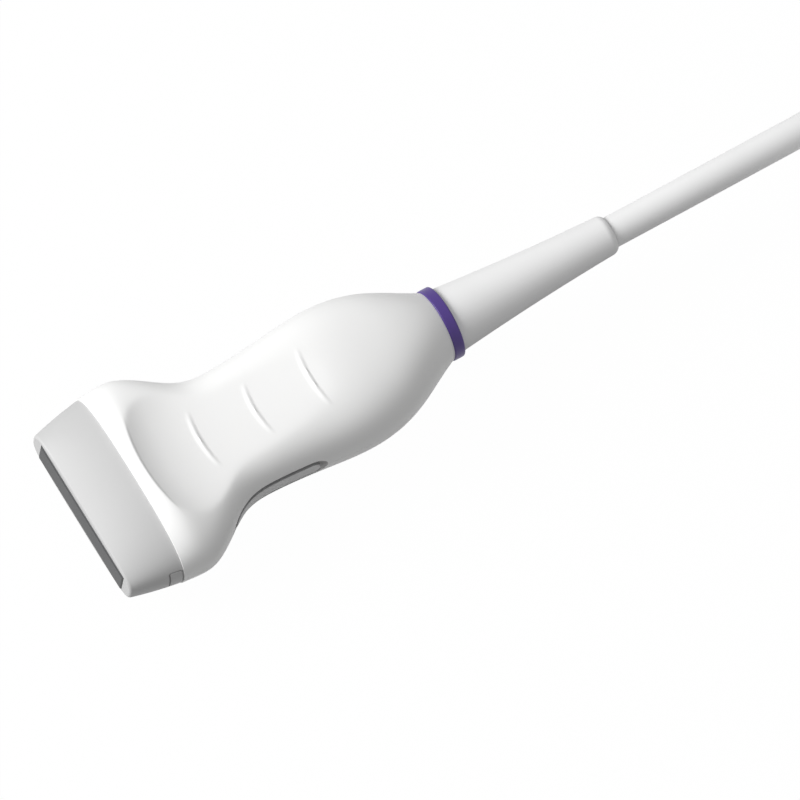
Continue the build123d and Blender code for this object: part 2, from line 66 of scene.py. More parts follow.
# The handle's own directions and the middle of its ring, read from the frame
NOSE_WAY = Vector(MOUNTS["acoustic_face"]["axis"]).normalized()
SIDE_WAY = Vector((0, 1, 0))
UP_WAY = NOSE_WAY.cross(SIDE_WAY)
RING_LOW, RING_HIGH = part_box("neck_ring")
RING_MIDDLE = (RING_LOW + RING_HIGH) / 2

# A millimetre in metres, and where the handle starts in front of the middle of the ring
MM = 0.001
SHELL_START = 1.425

# Sections of the handle in millimetres: place from its start, half width, height above and below
# the axis, squareness (0.552 is an ellipse)
HANDLE_SECTIONS = (
    (0.0, 9.15, 9.15, 9.15, 0.56),
    (2.2, 10.16, 10.3, 10.5, 0.58),
    (4.7, 11.4, 11.35, 11.8, 0.61),
    (9.2, 13.77, 12.65, 13.4, 0.65),
    (13.5, 15.74, 13.4, 14.45, 0.68),
    (19.9, 17.66, 13.95, 15.25, 0.7),
    (26.3, 18.4, 14.15, 15.5, 0.71),
    (40.3, 17.5, 13.4, 14.5, 0.715),
    (54.5, 16.5, 12.3, 13.0, 0.72),
    (63.6, 17.7, 11.75, 12.4, 0.75),
    (70.9, 22.3, 12.6, 12.7, 0.76),
    (77.9, 26.0, 13.7, 13.4, 0.73),
    (82.2, 26.2, 14.15, 13.6, 0.71),
    (86.5, 25.9, 12.3, 12.3, 0.715),
)
SEAM_PLACE = HANDLE_SECTIONS[-1][0]

# Floor of the finger recess: distance behind the foot of its front step, height over the axis
RECESS_FLOOR = (
    (0.0, 13.3),
    (1.0, 12.85),
    (2.0, 12.45),
    (4.0, 11.8),
    (7.0, 11.13),
    (10.0, 10.7),
    (13.0, 10.47),
    (16.0, 10.41),
    (20.0, 10.5),
    (28.7, 11.15),
    (42.9, 12.75),
    (52.0, 14.4),
    (60.0, 17.5),
    (66.0, 21.0),
)

# Slope of the step in front of the recess
STEP_SLOPE = math.tan(math.radians(52))

# Ridges in the finger recess: place of the crest and length across the handle
RIDGES = ((67.4, 16.2), (52.1, 15.0), (36.6, 17.0))

# Rows of the skin's mesh: how many up to the recess's step, and how many from there to the seam
STEP_ROWS_START = 74.5
ROWS_BEHIND_STEP = 200
ROWS_AT_STEP = 60

# Points on a quarter of a section, above and below, after those of the parting groove
GROOVE_SHARES = (0, 0.006)
GROOVE_END = 0.018
POINTS_ABOVE = 74
POINTS_BELOW = 40

# Blocks that cut the pockets for the strips: how far they stand out of the skin in millimetres,
# angle of the first point on a round end, points on a quarter of an end and along a side
POCKET_STANDOUT = 1.0
POCKET_FIRST_ANGLE = math.radians(6)
POCKET_ROUND_POINTS = 8
POCKET_SIDE_POINTS = 16

# Finish of the skin's pieces: angle above which an edge is sharp, and how exactly a point is found
SHARP_ANGLE = math.radians(50)
SHARE_TOLERANCE = 1e-6

# Hank of put-away cable and the straps round it, read from the frame
HANK_LOW, HANK_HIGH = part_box("cable_hank")
STRAPS_LOW, STRAPS_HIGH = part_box("cable_ties")
PLUG_BOOT_LOW, PLUG_BOOT_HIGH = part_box("plug_boot")

# Cable routes in metres: out of the boot and down onto the hank, early enough to pass under the
# nearer strap, then out of the hank to the plug
RUN_POINTS = (
    (-0.150, -0.00066, 0.01953),
    (-0.165, -0.0024, 0.0136),
    (-0.186, -0.0021, 0.0132),
    (-0.216, -0.0022, 0.0132),
)
END_POINTS = (
    (-0.200, -0.0018, 0.0053),
    (-0.224, -0.0036, 0.0050),
    (-0.254, -0.0110, 0.0044),
    (-0.282, -0.0118, 0.0054),
    (-0.300, -0.0118, 0.0100),
)

# Winding of the hank: which fold, lane in, lane out (in cable diameters from the middle), layer
HALF_TURNS = (
    ("far", -4, 4, 1),
    ("near", 4, -3, 1),
    ("far", -3, 3, 1),
    ("near", 3, -3, 0),
    ("far", -3, 4, 0),
    ("near", 4, -4, 0),
)
HANK_LAYERS = 2

# Smoothness of the cable's curve and of its round jacket
SPLINE_ORDER = 3
SPLINE_STEPS = 12
JACKET_STEPS = 8

# Straps: points on a rounded corner, and the size of a woven rib as shares of the strap's
STRAP_CORNER_POINTS = 6
RIB_HEIGHT = 1.15
RIB_PITCH = 0.6
RIB_LENGTH = 0.9

# Scale of the patterns in the finishes, and how far the roughness strays
PLASTIC_PATCHES = 45.0
PLASTIC_GRAIN = 2600.0
PLASTIC_STRAY = 0.05
RUBBER_PATCHES = 60.0
RUBBER_GRAIN = 1800.0
RUBBER_GRAIN_DEPTH = 0.000012
RUBBER_DARKER = 0.97
RUBBER_STRAY = 0.06
METAL_LINES = 900.0
METAL_DARKER = 0.85
METAL_STRAY = 0.08
STRAP_THREADS = 1400.0
STRAP_DARKER = 0.55

# Stage: half the floor's side, whiteness of its paper, place and size of the lamp
FLOOR_HALF = 4.0
PAPER_WHITE = 0.95
KEY_PLACE = (0.89, -0.49, 0.6)
KEY_SIZE = 0.6


def millimetres(name, description, default):
    """Size of one feature of the handle, in millimetres."""
    return FloatProperty(name=name, description=description, default=default, min=0)


class ProbeHandle(PropertyGroup):
    """Sizes of the features moulded into the handle."""

    step_back: millimetres("Step Place", "From the seam back to the foot of the recess's step", 3.4)
    step_bend: millimetres("Step Bend", "Radius of the step's crescent", 46.0)
    recess_blend: millimetres("Recess Blend", "Softness of the recess's edges", 0.4)
    ridge_height: millimetres("Ridge Height", "Height of the ridges in the recess", 0.36)
    ridge_front: millimetres("Ridge Front", "Length of a ridge's gentle front", 1.1)
    ridge_rear: millimetres("Ridge Rear", "Length of a ridge's steep rear", 0.5)
    ridge_bow: millimetres("Ridge Bow", "How far the ends of a ridge bend back", 1.1)
    grip_middle: millimetres("Grip Place", "Middle of the strips, in front of the ring", 55.6)
    grip_length: millimetres("Grip Length", "Length of the pockets for the strips", 29.4)
    grip_width: millimetres("Grip Width", "Width of the pockets for the strips", 8.4)
    grip_depth: millimetres("Grip Depth", "Depth of the pockets for the strips", 2.8)
    grip_gap: millimetres("Grip Gap", "Gap round the strips", 2.0)
    # The dark bands round the strips are painted shade for their grooves: the thickness and the reach
    # of these bands
    shade_band_wall: millimetres("Seal Wall", "Thickness of the seals round the strips", 0.35)
    shade_band_reach: FloatProperty(
        name="Seal Reach",
        description="Share of the handle's width that the seals reach",
        default=0.99,
        min=0,
        max=1,
    )
    parting_depth: millimetres("Parting Depth", "Fine groove where the two shells meet", 0.12)


class ProbeCable(PropertyGroup):
    """Sizes of the cable and its straps."""

    diameter: FloatProperty(
        name="Cable Diameter",
        description="Outside diameter of the cable's jacket",
        default=0.008,
        unit="LENGTH",
    )
    straight: FloatProperty(
        name="Straight Stretch",
        description="Length that leaves the boot in line with the handle",
        default=0.056,
        unit="LENGTH",
    )
    fold_steps: IntProperty(
        name="Points per Fold",
        description="Control points round each fold of the hank",
        default=6,
        min=6,
    )
    strap_thickness: FloatProperty(
        name="Strap Thickness",
        description="Thickness of the straps that hold the hank",
        default=0.0012,
        unit="LENGTH",
    )
    strap_width: FloatProperty(
        name="Strap Width",
        description="Width of the straps that hold the hank",
        default=0.012,
        unit="LENGTH",
    )
    strap_ribs: IntProperty(
        name="Strap Ribs",
        description="Woven ribs along one strap",
        default=150,
        min=1,
    )


def colour_property(name, description, default):
    """Colour of one finish, in scene-linear values."""
    return FloatVectorProperty(
        name=name, description=description, default=default, subtype="COLOR", min=0, max=1
    )


class ProbeFinishes(PropertyGroup):
    """Colours of the probe's pieces."""

    shell: colour_property("Shell", "Handle shells", (0.88, 0.88, 0.875))
    grip: colour_property("Grip", "Strips in the narrow sides", (0.84, 0.84, 0.84))
    # Dark grey of the bands round the strips, a painted shade for their grooves
    painted_groove_shade: colour_property("Groove Shade", "Seals round the strips", (0.36, 0.36, 0.365))
    nose: colour_property("Nose", "Wedge in front of the handle", (0.5, 0.5, 0.5))
    lens: colour_property("Lens", "Acoustic lens", (0.05, 0.051, 0.053))
    ring: colour_property("Ring", "Ring behind the handle", (0.07, 0.036, 0.215))
    boot: colour_property("Boot", "Tapered boots", (0.9, 0.9, 0.9))
    cable: colour_property("Cable", "Cable jacket", (0.92, 0.92, 0.92))
    strap: colour_property("Strap", "Straps round the hank", (0.13, 0.13, 0.14))
    plug: colour_property("Plug", "Shells of the plug", (0.6, 0.605, 0.61))


class ProbeStage(PropertyGroup):
    """Camera and light."""

    focal_length: FloatProperty(
        name="Focal Length", description="Camera lens in millimetres", default=1200.0
    )
    distance: FloatProperty(
        name="Distance",
        description="From the camera to the point it aims at",
        default=6.463,
        unit="LENGTH",
    )
    front_tilt: FloatProperty(
        name="Front Tilt",
        description="Turn of the view from straight above towards the nose",
        default=math.radians(13.89),
        subtype="ANGLE",
    )
    side_tilt: FloatProperty(
        name="Side Tilt",
        description="Turn of the view from straight above towards the near side",
        default=math.radians(14.77),
        subtype="ANGLE",
    )
    roll: FloatProperty(
        name="Roll",
        description="Rise of the handle from left to right across the picture",
        default=math.radians(28.3),
        subtype="ANGLE",
    )
    aim: FloatVectorProperty(
        name="Aim",
        description="Aim point from the middle of the ring, along and across the handle as seen",
        default=(-0.01738, 0.01156),
        size=2,
        unit="LENGTH",
    )
    key_power: FloatProperty(
        name="Key Power", description="Large soft lamp, far side and front", default=14.8, unit="POWER"
    )
    world_strength: FloatProperty(
        name="World Strength", description="Even light from all round", default=0.42
    )
    floor_white: FloatProperty(
        name="Floor White",
        description="How far the floor is lifted to plain white where the camera sees it",
        default=0.985,
        min=0,
        max=1,
    )
    floor_bounce: FloatProperty(
        name="Floor Bounce",
        description="Share of its light that the floor throws back onto the probe",
        default=0.18,
        min=0,
        max=1,
    )


def new_material(name):
    """Material with a Principled shader, and its node tree and shader."""
    material = bpy.data.materials.new(name)
    material.use_nodes = True
    shader = material.node_tree.nodes["Principled BSDF"]
    return material, material.node_tree, shader


def add_node(tree, kind, **inputs):
    """Node with some of its inputs set; underscores in a name stand for spaces."""
    node = tree.nodes.new(kind)
    for name, value in inputs.items():
        node.inputs[name.replace("_", " ")].default_value = value
    return node


def math_node(tree, operation, second=0.0):
    """Math node with its second value set."""
    node = tree.nodes.new("ShaderNodeMath")
    node.operation = operation
    node.inputs[1].default_value = second
    return node


def shade_range(colour, darker):
    """Darker and full version of a colour, each with alpha."""
    return (*(channel * darker for channel in colour), 1), (*colour, 1)


def mottle(tree, shader, coordinates, colour, darker, scale):
    """Faint large patches in a surface's colour."""
    patches = add_node(tree, "ShaderNodeTexNoise", Scale=scale, Detail=3.0)
    ramp = tree.nodes.new("ShaderNodeValToRGB")
    low, high = shade_range(colour, darker)
    ramp.color_ramp.elements[0].position = 0.3
    ramp.color_ramp.elements[0].color = low
    ramp.color_ramp.elements[1].position = 0.7
    ramp.color_ramp.elements[1].color = high
    tree.links.new(coordinates.outputs["Object"], patches.inputs["Vector"])
    tree.links.new(patches.outputs["Fac"], ramp.inputs["Fac"])
    tree.links.new(ramp.outputs["Color"], shader.inputs["Base Color"])
    return patches


def grain(tree, shader, coordinates, scale, depth):
    """Fine moulded grain as bump."""
    speckle = add_node(tree, "ShaderNodeTexNoise", Scale=scale, Detail=2.0)
    bump = add_node(tree, "ShaderNodeBump", Strength=0.6, Distance=depth)
    tree.links.new(coordinates.outputs["Object"], speckle.inputs["Vector"])
    tree.links.new(speckle.outputs["Fac"], bump.inputs["Height"])
    tree.links.new(bump.outputs["Normal"], shader.inputs["Normal"])
    return speckle


def vary_roughness(tree, shader, source, low, high):
    """Roughness that follows a pattern between two values."""
    spread = add_node(tree, "ShaderNodeMapRange", To_Min=low, To_Max=high)
    tree.links.new(source.outputs["Fac"], spread.inputs["Value"])
    tree.links.new(spread.outputs["Result"], shader.inputs["Roughness"])


def moulded_plastic(name, colour, roughness, grain_depth=0.00001, darker=0.975):
    """Satin moulded plastic with a fine grain and barely uneven colour."""
    material, tree, shader = new_material(name)
    coordinates = tree.nodes.new("ShaderNodeTexCoord")
    patches = mottle(tree, shader, coordinates, colour, darker, PLASTIC_PATCHES)
    grain(tree, shader, coordinates, PLASTIC_GRAIN, grain_depth)
    vary_roughness(tree, shader, patches, roughness - PLASTIC_STRAY, roughness + PLASTIC_STRAY)
    shader.inputs["Specular IOR Level"].default_value = 0.4
    return material


def soft_rubber(name, colour, roughness=0.6):
    """Matt elastomer with a powdery sheen."""
    material, tree, shader = new_material(name)
    coordinates = tree.nodes.new("ShaderNodeTexCoord")
    patches = mottle(tree, shader, coordinates, colour, RUBBER_DARKER, RUBBER_PATCHES)
    grain(tree, shader, coordinates, RUBBER_GRAIN, RUBBER_GRAIN_DEPTH)
    vary_roughness(tree, shader, patches, roughness - RUBBER_STRAY, roughness + RUBBER_STRAY)
    shader.inputs["Specular IOR Level"].default_value = 0.3
    shader.inputs["Sheen Weight"].default_value = 0.05
    return material


def bare_metal(name, colour, roughness, along):
    """Metal with fine lines stretched along one direction."""
    material, tree, shader = new_material(name)
    coordinates = tree.nodes.new("ShaderNodeTexCoord")
    stretch = add_node(tree, "ShaderNodeMapping", Scale=along)
    lines = add_node(tree, "ShaderNodeTexNoise", Scale=METAL_LINES, Detail=4.0)
    tree.links.new(coordinates.outputs["Object"], stretch.inputs["Vector"])
    tree.links.new(stretch.outputs["Vector"], lines.inputs["Vector"])
    ramp = tree.nodes.new("ShaderNodeValToRGB")
    low, high = shade_range(colour, METAL_DARKER)
    ramp.color_ramp.elements[0].color = low
    ramp.color_ramp.elements[1].color = high
    tree.links.new(lines.outputs["Fac"], ramp.inputs["Fac"])
    tree.links.new(ramp.outputs["Color"], shader.inputs["Base Color"])
    vary_roughness(tree, shader, lines, roughness - METAL_STRAY, roughness + METAL_STRAY)
    shader.inputs["Metallic"].default_value = 1.0
    return material


def woven_strap(name, colour):
    """Woven nylon with a soft pile."""
    material, tree, shader = new_material(name)
    coordinates = tree.nodes.new("ShaderNodeTexCoord")
    threads = add_node(tree, "ShaderNodeTexVoronoi", Scale=STRAP_THREADS)
    ramp = tree.nodes.new("ShaderNodeValToRGB")
    low, high = shade_range(colour, STRAP_DARKER)
    ramp.color_ramp.elements[0].color = high
    ramp.color_ramp.elements[1].color = low
    bump = add_node(tree, "ShaderNodeBump", Strength=0.8, Distance=0.0002)
    tree.links.new(coordinates.outputs["Object"], threads.inputs["Vector"])
    tree.links.new(threads.outputs["Distance"], ramp.inputs["Fac"])
    tree.links.new(ramp.outputs["Color"], shader.inputs["Base Color"])
    tree.links.new(threads.outputs["Distance"], bump.inputs["Height"])
    tree.links.new(bump.outputs["Normal"], shader.inputs["Normal"])
    shader.inputs["Roughness"].default_value = 0.85
    shader.inputs["Sheen Weight"].default_value = 0.3
    return material


def finish_node(node, material):
    """Gives one solid of the frame its material."""
    mesh = NODES[node].data
    mesh.materials.clear()
    mesh.materials.append(material)


def smooth_through(places, values):
    """Natural cubic spline through values at rising places, as a function of the place."""
    steps = [after - before for before, after in zip(places, places[1:])]
    slopes = [(after - before) / step for before, after, step in zip(values, values[1:], steps)]
    bends = [0.0] * len(places)
    shares = [0.0] * len(places)
    for index in range(1, len(places) - 1):
        weight = 2 * (steps[index - 1] + steps[index]) - steps[index - 1] * shares[index - 1]
        turn = 6 * (slopes[index] - slopes[index - 1])
        shares[index] = steps[index] / weight
        bends[index] = (turn - steps[index - 1] * bends[index - 1]) / weight
    for index in range(len(places) - 2, 0, -1):
        bends[index] -= shares[index] * bends[index + 1]

    def value(place):
        index = min(max(bisect.bisect_right(places, place), 1), len(places) - 1) - 1
        step, first, second = steps[index], bends[index], bends[index + 1]
        along = place - places[index]
        rise = slopes[index] - step * (2 * first + second) / 6
        bend = first / 2 + along * (second - first) / (6 * step)
        return values[index] + along * (rise + along * bend)

    return value


SECTION_PLACES, *SECTION_COLUMNS = zip(*HANDLE_SECTIONS)
SECTION_SIZES = [smooth_through(SECTION_PLACES, column) for column in SECTION_COLUMNS]
FLOOR_HEIGHT = smooth_through(*zip(*RECESS_FLOOR))


def quarter_point(share, squareness):
    """Point on a quarter of a section of unit size, from the narrow side to the broad face."""
    rest = 1 - share
    across = rest**3 + 3 * rest**2 * share + 3 * rest * share**2 * squareness
    up = 3 * rest**2 * share * squareness + 3 * rest * share**2 + share**3
    return across, up


def recess_floor(handle, place, across):
    """Height of the finger recess, which ends in front in a crescent-shaped step."""
    bow = handle.step_bend - math.sqrt(handle.step_bend**2 - across**2)
    behind = SEAM_PLACE - handle.step_back - bow - place
    if behind < 0:
        return RECESS_FLOOR[0][1] - behind * STEP_SLOPE
    return FLOOR_HEIGHT(min(behind, RECESS_FLOOR[-1][0]))


def soft_min(first, second, blend):
    """Lower of two heights, with a rounded edge where they meet."""
    return (first + second - math.hypot(first - second, blend)) / 2


def ridge_lift(handle, place, across):
    """Ridges in the finger recess, gentle in front and steep behind."""
    lift = 0.0
    for crest, length in RIDGES:
        part = across / (length / 2)
        along = place - crest + handle.ridge_bow * part**2
        reach = handle.ridge_front if along > 0 else handle.ridge_rear
        if abs(part) < 1 and abs(along) < reach:
            lift += handle.ridge_height * (1 - part**2) * math.cos(math.pi / 2 * along / reach) ** 2
    return lift


def spaced(first, last, count):
    """Evenly spaced values, without the last."""
    return [first + (last - first) * index / count for index in range(count)]


def in_frame(place, across, up):
    """Point of the frame for a place on the handle in millimetres."""
    along = SHELL_START + place
    return RING_MIDDLE + (along * NOSE_WAY + across * SIDE_WAY + up * UP_WAY) * MM


def skin_ring(handle, place, top_shares, bottom_shares):
    """Points of one section, over the top from the near side to the far side and back below."""
    half_width, top, bottom, squareness = (size(place) for size in SECTION_SIZES)
    on_grip = abs(place - handle.grip_middle) < handle.grip_length / 2
    points = []
    for shares, near, above, height in (
        (top_shares, 1, 1, top),
        (top_shares[::-1], -1, 1, top),
        (bottom_shares, -1, -1, bottom),
        (bottom_shares[::-1], 1, -1, bottom),
    ):
        for share in shares[:-1]:
            across, up = quarter_point(share, squareness)
            across *= half_width
            if share == 0 and not on_grip:
                across -= handle.parting_depth
            up = soft_min(up * height, recess_floor(handle, place, across), handle.recess_blend)
            up = max(up, 0) + ridge_lift(handle, place, across)
            points.append(in_frame(place, near * across, above * up))
    return points


def mesh_piece(name, points, faces):
    """Object with a closed mesh, its faces turned outwards."""
    mesh = bpy.data.meshes.new(name)
    mesh.from_pydata(points, [], faces)
    shape = bmesh.new()
    shape.from_mesh(mesh)
    bmesh.ops.recalc_face_normals(shape, faces=shape.faces)
    shape.to_mesh(mesh)
    shape.free()
    piece = bpy.data.objects.new(name, mesh)
    bpy.context.scene.collection.objects.link(piece)
    return piece


def handle_skin(handle):
    """Closed outer form of both shells."""
    places = spaced(0, STEP_ROWS_START, ROWS_BEHIND_STEP)
    places += [*spaced(STEP_ROWS_START, SEAM_PLACE, ROWS_AT_STEP), SEAM_PLACE]
    top_shares = [*GROOVE_SHARES, *spaced(GROOVE_END, 1, POINTS_ABOVE), 1]
    bottom_shares = [*GROOVE_SHARES, *spaced(GROOVE_END, 1, POINTS_BELOW), 1]
    rings = [skin_ring(handle, place, top_shares, bottom_shares) for place in places]
    count = len(rings[0])
    faces = [tuple(range(count)), tuple(range(count * (len(rings) - 1), count * len(rings)))]
    for start in range(0, count * (len(rings) - 1), count):
        for index in range(count):
            after = (index + 1) % count
            faces.append((start + index, start + after, start + count + after, start + count + index))
    return mesh_piece("handle_shells", [point for ring in rings for point in ring], faces)


def side_reach(place, up):
    """Distance from the axis to the narrow side at a height."""
    half_width, top, bottom, squareness = (size(place) for size in SECTION_SIZES)
    target = up / top if up > 0 else -up / bottom
    low, high = 0.0, 1.0
    while high - low > SHARE_TOLERANCE:
        share = (low + high) / 2
        if quarter_point(share, squareness)[1] < target:
            low = share
        else:
            high = share
    return half_width * quarter_point(low, squareness)[0]


def grip_pockets(handle, inset):
    """Slot-shaped blocks in both narrow sides, with floors that follow the skin."""
    radius = handle.grip_width / 2 - inset
    reach = handle.grip_length / 2 - inset
    outline = []
    for angle in spaced(POCKET_FIRST_ANGLE, math.pi / 2, POCKET_ROUND_POINTS):
        outline.append((-reach + radius * (1 - math.cos(angle)), radius * math.sin(angle)))
    for along in spaced(radius - reach, reach - radius, POCKET_SIDE_POINTS):
        outline.append((along, radius))
    first_end = outline[: POCKET_ROUND_POINTS + 1]
    outline += [(-along, half) for along, half in first_end[::-1]]
    points = []
    faces = []
    for near in (1, -1):
        for along, half in outline:
            place = handle.grip_middle + along
            for up in (half, -half):
                skin = side_reach(place, up)
                points.append(in_frame(place, near * (skin + POCKET_STANDOUT), up))
                points.append(in_frame(place, near * (skin - handle.grip_depth), up))
        first = len(points) - 4 * len(outline)
        for start in range(first, len(points) - 4, 4):
            for one, other in ((0, 1), (1, 3), (3, 2), (2, 0)):
                faces.append((start + one, start + other, start + 4 + other, start + 4 + one))
        faces += [(first, first + 1, first + 3, first + 2)]
        faces += [(len(points) - 4, len(points) - 3, len(points) - 1, len(points) - 2)]
    return mesh_piece("pocket_tool", points, faces)


def carve(piece, tool, operation):
    """Bakes a piece cut with a tool, which is then removed."""
    modifier = piece.modifiers.new("carve", "BOOLEAN")
    modifier.operation = operation
    modifier.solver = "EXACT"
    modifier.object = tool
    seen = piece.evaluated_get(bpy.context.evaluated_depsgraph_get())
    mesh = bpy.data.meshes.new_from_object(seen)
    piece.modifiers.remove(modifier)
    piece.data = mesh
    bpy.data.objects.remove(tool)


def dress(piece, material, slot, *nodes):
    """Smooth finish of a skin piece, which stands for nodes of the frame."""
    mesh = piece.data
    mesh.shade_smooth()
    mesh.set_sharp_from_angle(angle=SHARP_ANGLE)
    mesh.materials.clear()
    mesh.materials.append(material)
    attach(piece, ROOT)
    if nodes:
        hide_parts(*nodes)


class PROBE_OT_handle(Operator):
    """Make the handle's skin, and the strips in its narrow sides with dark bands round them that paint
    the shade in their grooves
    """

    bl_idname = "probe.handle"
    bl_label = "Handle"

    def execute(self, context):
        finishes = context.scene.probe_finishes
        shell = moulded_plastic("shell_plastic", finishes.shell, 0.42)
        grip = soft_rubber("grip_rubber", finishes.grip)
        # Dark rubber of the bands round the strips, a painted shade for their grooves
        painted_groove_shade = soft_rubber("groove_shade_rubber", finishes.painted_groove_shade)
        handle = context.scene.probe_handle
        skin = handle_skin(handle)
        strips = bpy.data.objects.new("grip_strips", skin.data.copy())
        # Dark bands in the grooves round the strips are painted shade: a slightly narrower copy of the
        # skin, cut a little wider than the strips
        groove_shade_bands = bpy.data.objects.new("grip_groove_shade", skin.data.copy())
        for piece in (strips, groove_shade_bands):
            context.scene.collection.objects.link(piece)
        groove_shade_bands.data.transform(Matrix.Scale(handle.shade_band_reach, 4, SIDE_WAY))
        carve(strips, grip_pockets(handle, handle.grip_gap), "INTERSECT")
        carve(groove_shade_bands, grip_pockets(handle, handle.grip_gap - handle.shade_band_wall), "INTERSECT")
        carve(skin, grip_pockets(handle, 0.0), "DIFFERENCE")
        dress(skin, shell, "shell_white", "top_shell", "bottom_shell")
        dress(strips, grip, "grip_white", "near_grip_strip", "far_grip_strip")
        dress(groove_shade_bands, painted_groove_shade, "lens_grey")
        return {"FINISHED"}


class PROBE_OT_nose(Operator):
    """Finish the nose and the acoustic lens"""

    bl_idname = "probe.nose"
    bl_label = "Nose and Lens"

    def execute(self, context):
        finishes = context.scene.probe_finishes
        finish_node("nose_piece", moulded_plastic("nose_plastic", finishes.nose, 0.45))
        finish_node("acoustic_lens", soft_rubber("lens_silicone", finishes.lens, 0.5))
        return {"FINISHED"}


class PROBE_OT_neck(Operator):
    """Finish the ring and the boot"""

    bl_idname = "probe.neck"
    bl_label = "Ring and Boot"

    def execute(self, context):
        finishes = context.scene.probe_finishes
        finish_node("neck_ring", moulded_plastic("ring_plastic", finishes.ring, 0.4))
        finish_node("strain_relief", soft_rubber("boot_rubber", finishes.boot))
        return {"FINISHED"}


class PROBE_OT_inside(Operator):
    """Finish the acoustic stack, boards and wiring inside the handle"""

    bl_idname = "probe.inside"
    bl_label = "Inside"

    def execute(self, context):
        resin = moulded_plastic("matching_resin", (0.3, 0.24, 0.14), 0.5)
        ceramic = moulded_plastic("diced_ceramic", (0.4, 0.33, 0.22), 0.55)
        backing = soft_rubber("backing_resin", (0.012, 0.012, 0.012))
        carrier = moulded_plastic("carrier_plastic", (0.015, 0.015, 0.017), 0.5)
        film = moulded_plastic("flex_film", (0.4, 0.13, 0.015), 0.3)
        board = moulded_plastic("board_lacquer", (0.01, 0.09, 0.03), 0.3)
        wires = soft_rubber("wire_insulation", (0.04, 0.09, 0.3))
        turned = bare_metal("turned_aluminium", (0.55, 0.55, 0.57), 0.35, (8.0, 1.0, 1.0))
        for node, material in (
            ("outer_matching_layer", resin),
            ("inner_matching_layer", resin),
            ("piezo_array", ceramic),
            ("backing_block", backing),
            ("array_frame", carrier),
            ("board_sockets", carrier),
            ("upper_flex", film),
            ("lower_flex", film),
            ("upper_board", board),
            ("lower_board", board),
            ("coax_bundle", wires),
            ("neck_bush", turned),
            ("cable_clamp", turned),
        ):
            finish_node(node, material)
        return {"FINISHED"}


def half_turn(fold_x, outward, lane_in, lane_out, height, steps):
    """Control points of a fold: round a half circle from one lane to another, tangent to both."""
    middle = (lane_in + lane_out) / 2
    radius = abs(lane_out - lane_in) / 2
    sign = math.copysign(1, lane_in - middle)
    step = math.pi / steps
    reach = radius * math.tan(step / 2)
    corner = radius / math.cos(step / 2)
    points = [(fold_x - outward * reach, lane_in, height)]
    for index in range(steps):
        angle = step * (index + 0.5)
        x = fold_x + outward * corner * math.sin(angle)
        y = middle + sign * corner * math.cos(angle)
        points.append((x, y, height))
    points.append((fold_x - outward * reach, lane_out, height))
    return points


def cable_route(cable):
    """Control points of the whole cable, from the boot's mouth to the plug's boot."""
    boot_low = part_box("strain_relief")[0]
    boot_mouth = RING_MIDDLE + NOSE_WAY * ((boot_low.x - RING_MIDDLE.x) / NOSE_WAY.x)
    straight_end = boot_mouth - NOSE_WAY * cable.straight
    hank_half = (HANK_HIGH.y - HANK_LOW.y) / 2
    hank_y = (HANK_LOW.y + HANK_HIGH.y) / 2
    folds = {"near": (HANK_HIGH.x - hank_half, 1), "far": (HANK_LOW.x + hank_half, -1)}
    layers = [HANK_LOW.z + cable.diameter * (layer + 0.5) for layer in range(HANK_LAYERS)]
    points = [tuple(boot_mouth), tuple(straight_end), *RUN_POINTS]
    for fold, lane_in, lane_out, layer in HALF_TURNS:
        fold_x, outward = folds[fold]
        lanes = [hank_y + lane * cable.diameter for lane in (lane_in, lane_out)]
        points += half_turn(fold_x, outward, *lanes, layers[layer], cable.fold_steps)
    plug_mouth = (PLUG_BOOT_HIGH.x, *((PLUG_BOOT_LOW + PLUG_BOOT_HIGH) / 2)[1:])
    return [*points, *END_POINTS, plug_mouth]


def spline_curve(name, points):
    """Curve object of one smooth open spline with the points as its control points."""
    curve = bpy.data.curves.new(name, "CURVE")
    curve.dimensions = "3D"
    spline = curve.splines.new("NURBS")
    spline.points.add(len(points) - 1)
    for control, point in zip(spline.points, points):
        control.co = (*point, 1)
    spline.order_u = SPLINE_ORDER
    spline.use_endpoint_u = True
    spline.resolution_u = SPLINE_STEPS
    piece = bpy.data.objects.new(name, curve)
    bpy.context.scene.collection.objects.link(piece)
    return piece


def line_length(piece):
    """Length along a curve object that has no thickness yet."""
    line = bpy.data.meshes.new_from_object(piece)
    corners = [vertex.co for vertex in line.vertices]
    length = sum((second - first).length for first, second in zip(corners, corners[1:]))
    bpy.data.meshes.remove(line)
    return length


class PROBE_OT_cable(Operator):
    """Lay the cable from the boot through the hank to the plug"""

    bl_idname = "probe.cable"
    bl_label = "Cable"

    def execute(self, context):
        cable = context.scene.probe_cable
        jacket = soft_rubber("cable_jacket", context.scene.probe_finishes.cable, 0.5)
        for node in ("cable_tail", "plug_tail"):
            finish_node(node, jacket)
        points = cable_route(cable)
        piece = spline_curve("cable", points)
        length = line_length(piece)
        piece.data.bevel_depth = cable.diameter / 2
        piece.data.bevel_resolution = JACKET_STEPS
        piece.data.use_fill_caps = True
        piece.data.materials.append(jacket)
        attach(piece, ROOT)
        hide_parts("cable_run", "cable_hank", "cable_end")
        carried = ["plug_boot", "plug_tail", "plug_lower_shell", "plug_upper_shell"]
        carried += ["plug_shroud", "contact_block", "contact_pins", "plug_screws"]
        return {"FINISHED"}


def link_chain(tree, *sockets):
    """Links pairs of sockets, given as output, input, output, input."""
    for output, target in zip(sockets[::2], sockets[1::2]):
        tree.links.new(output, target)


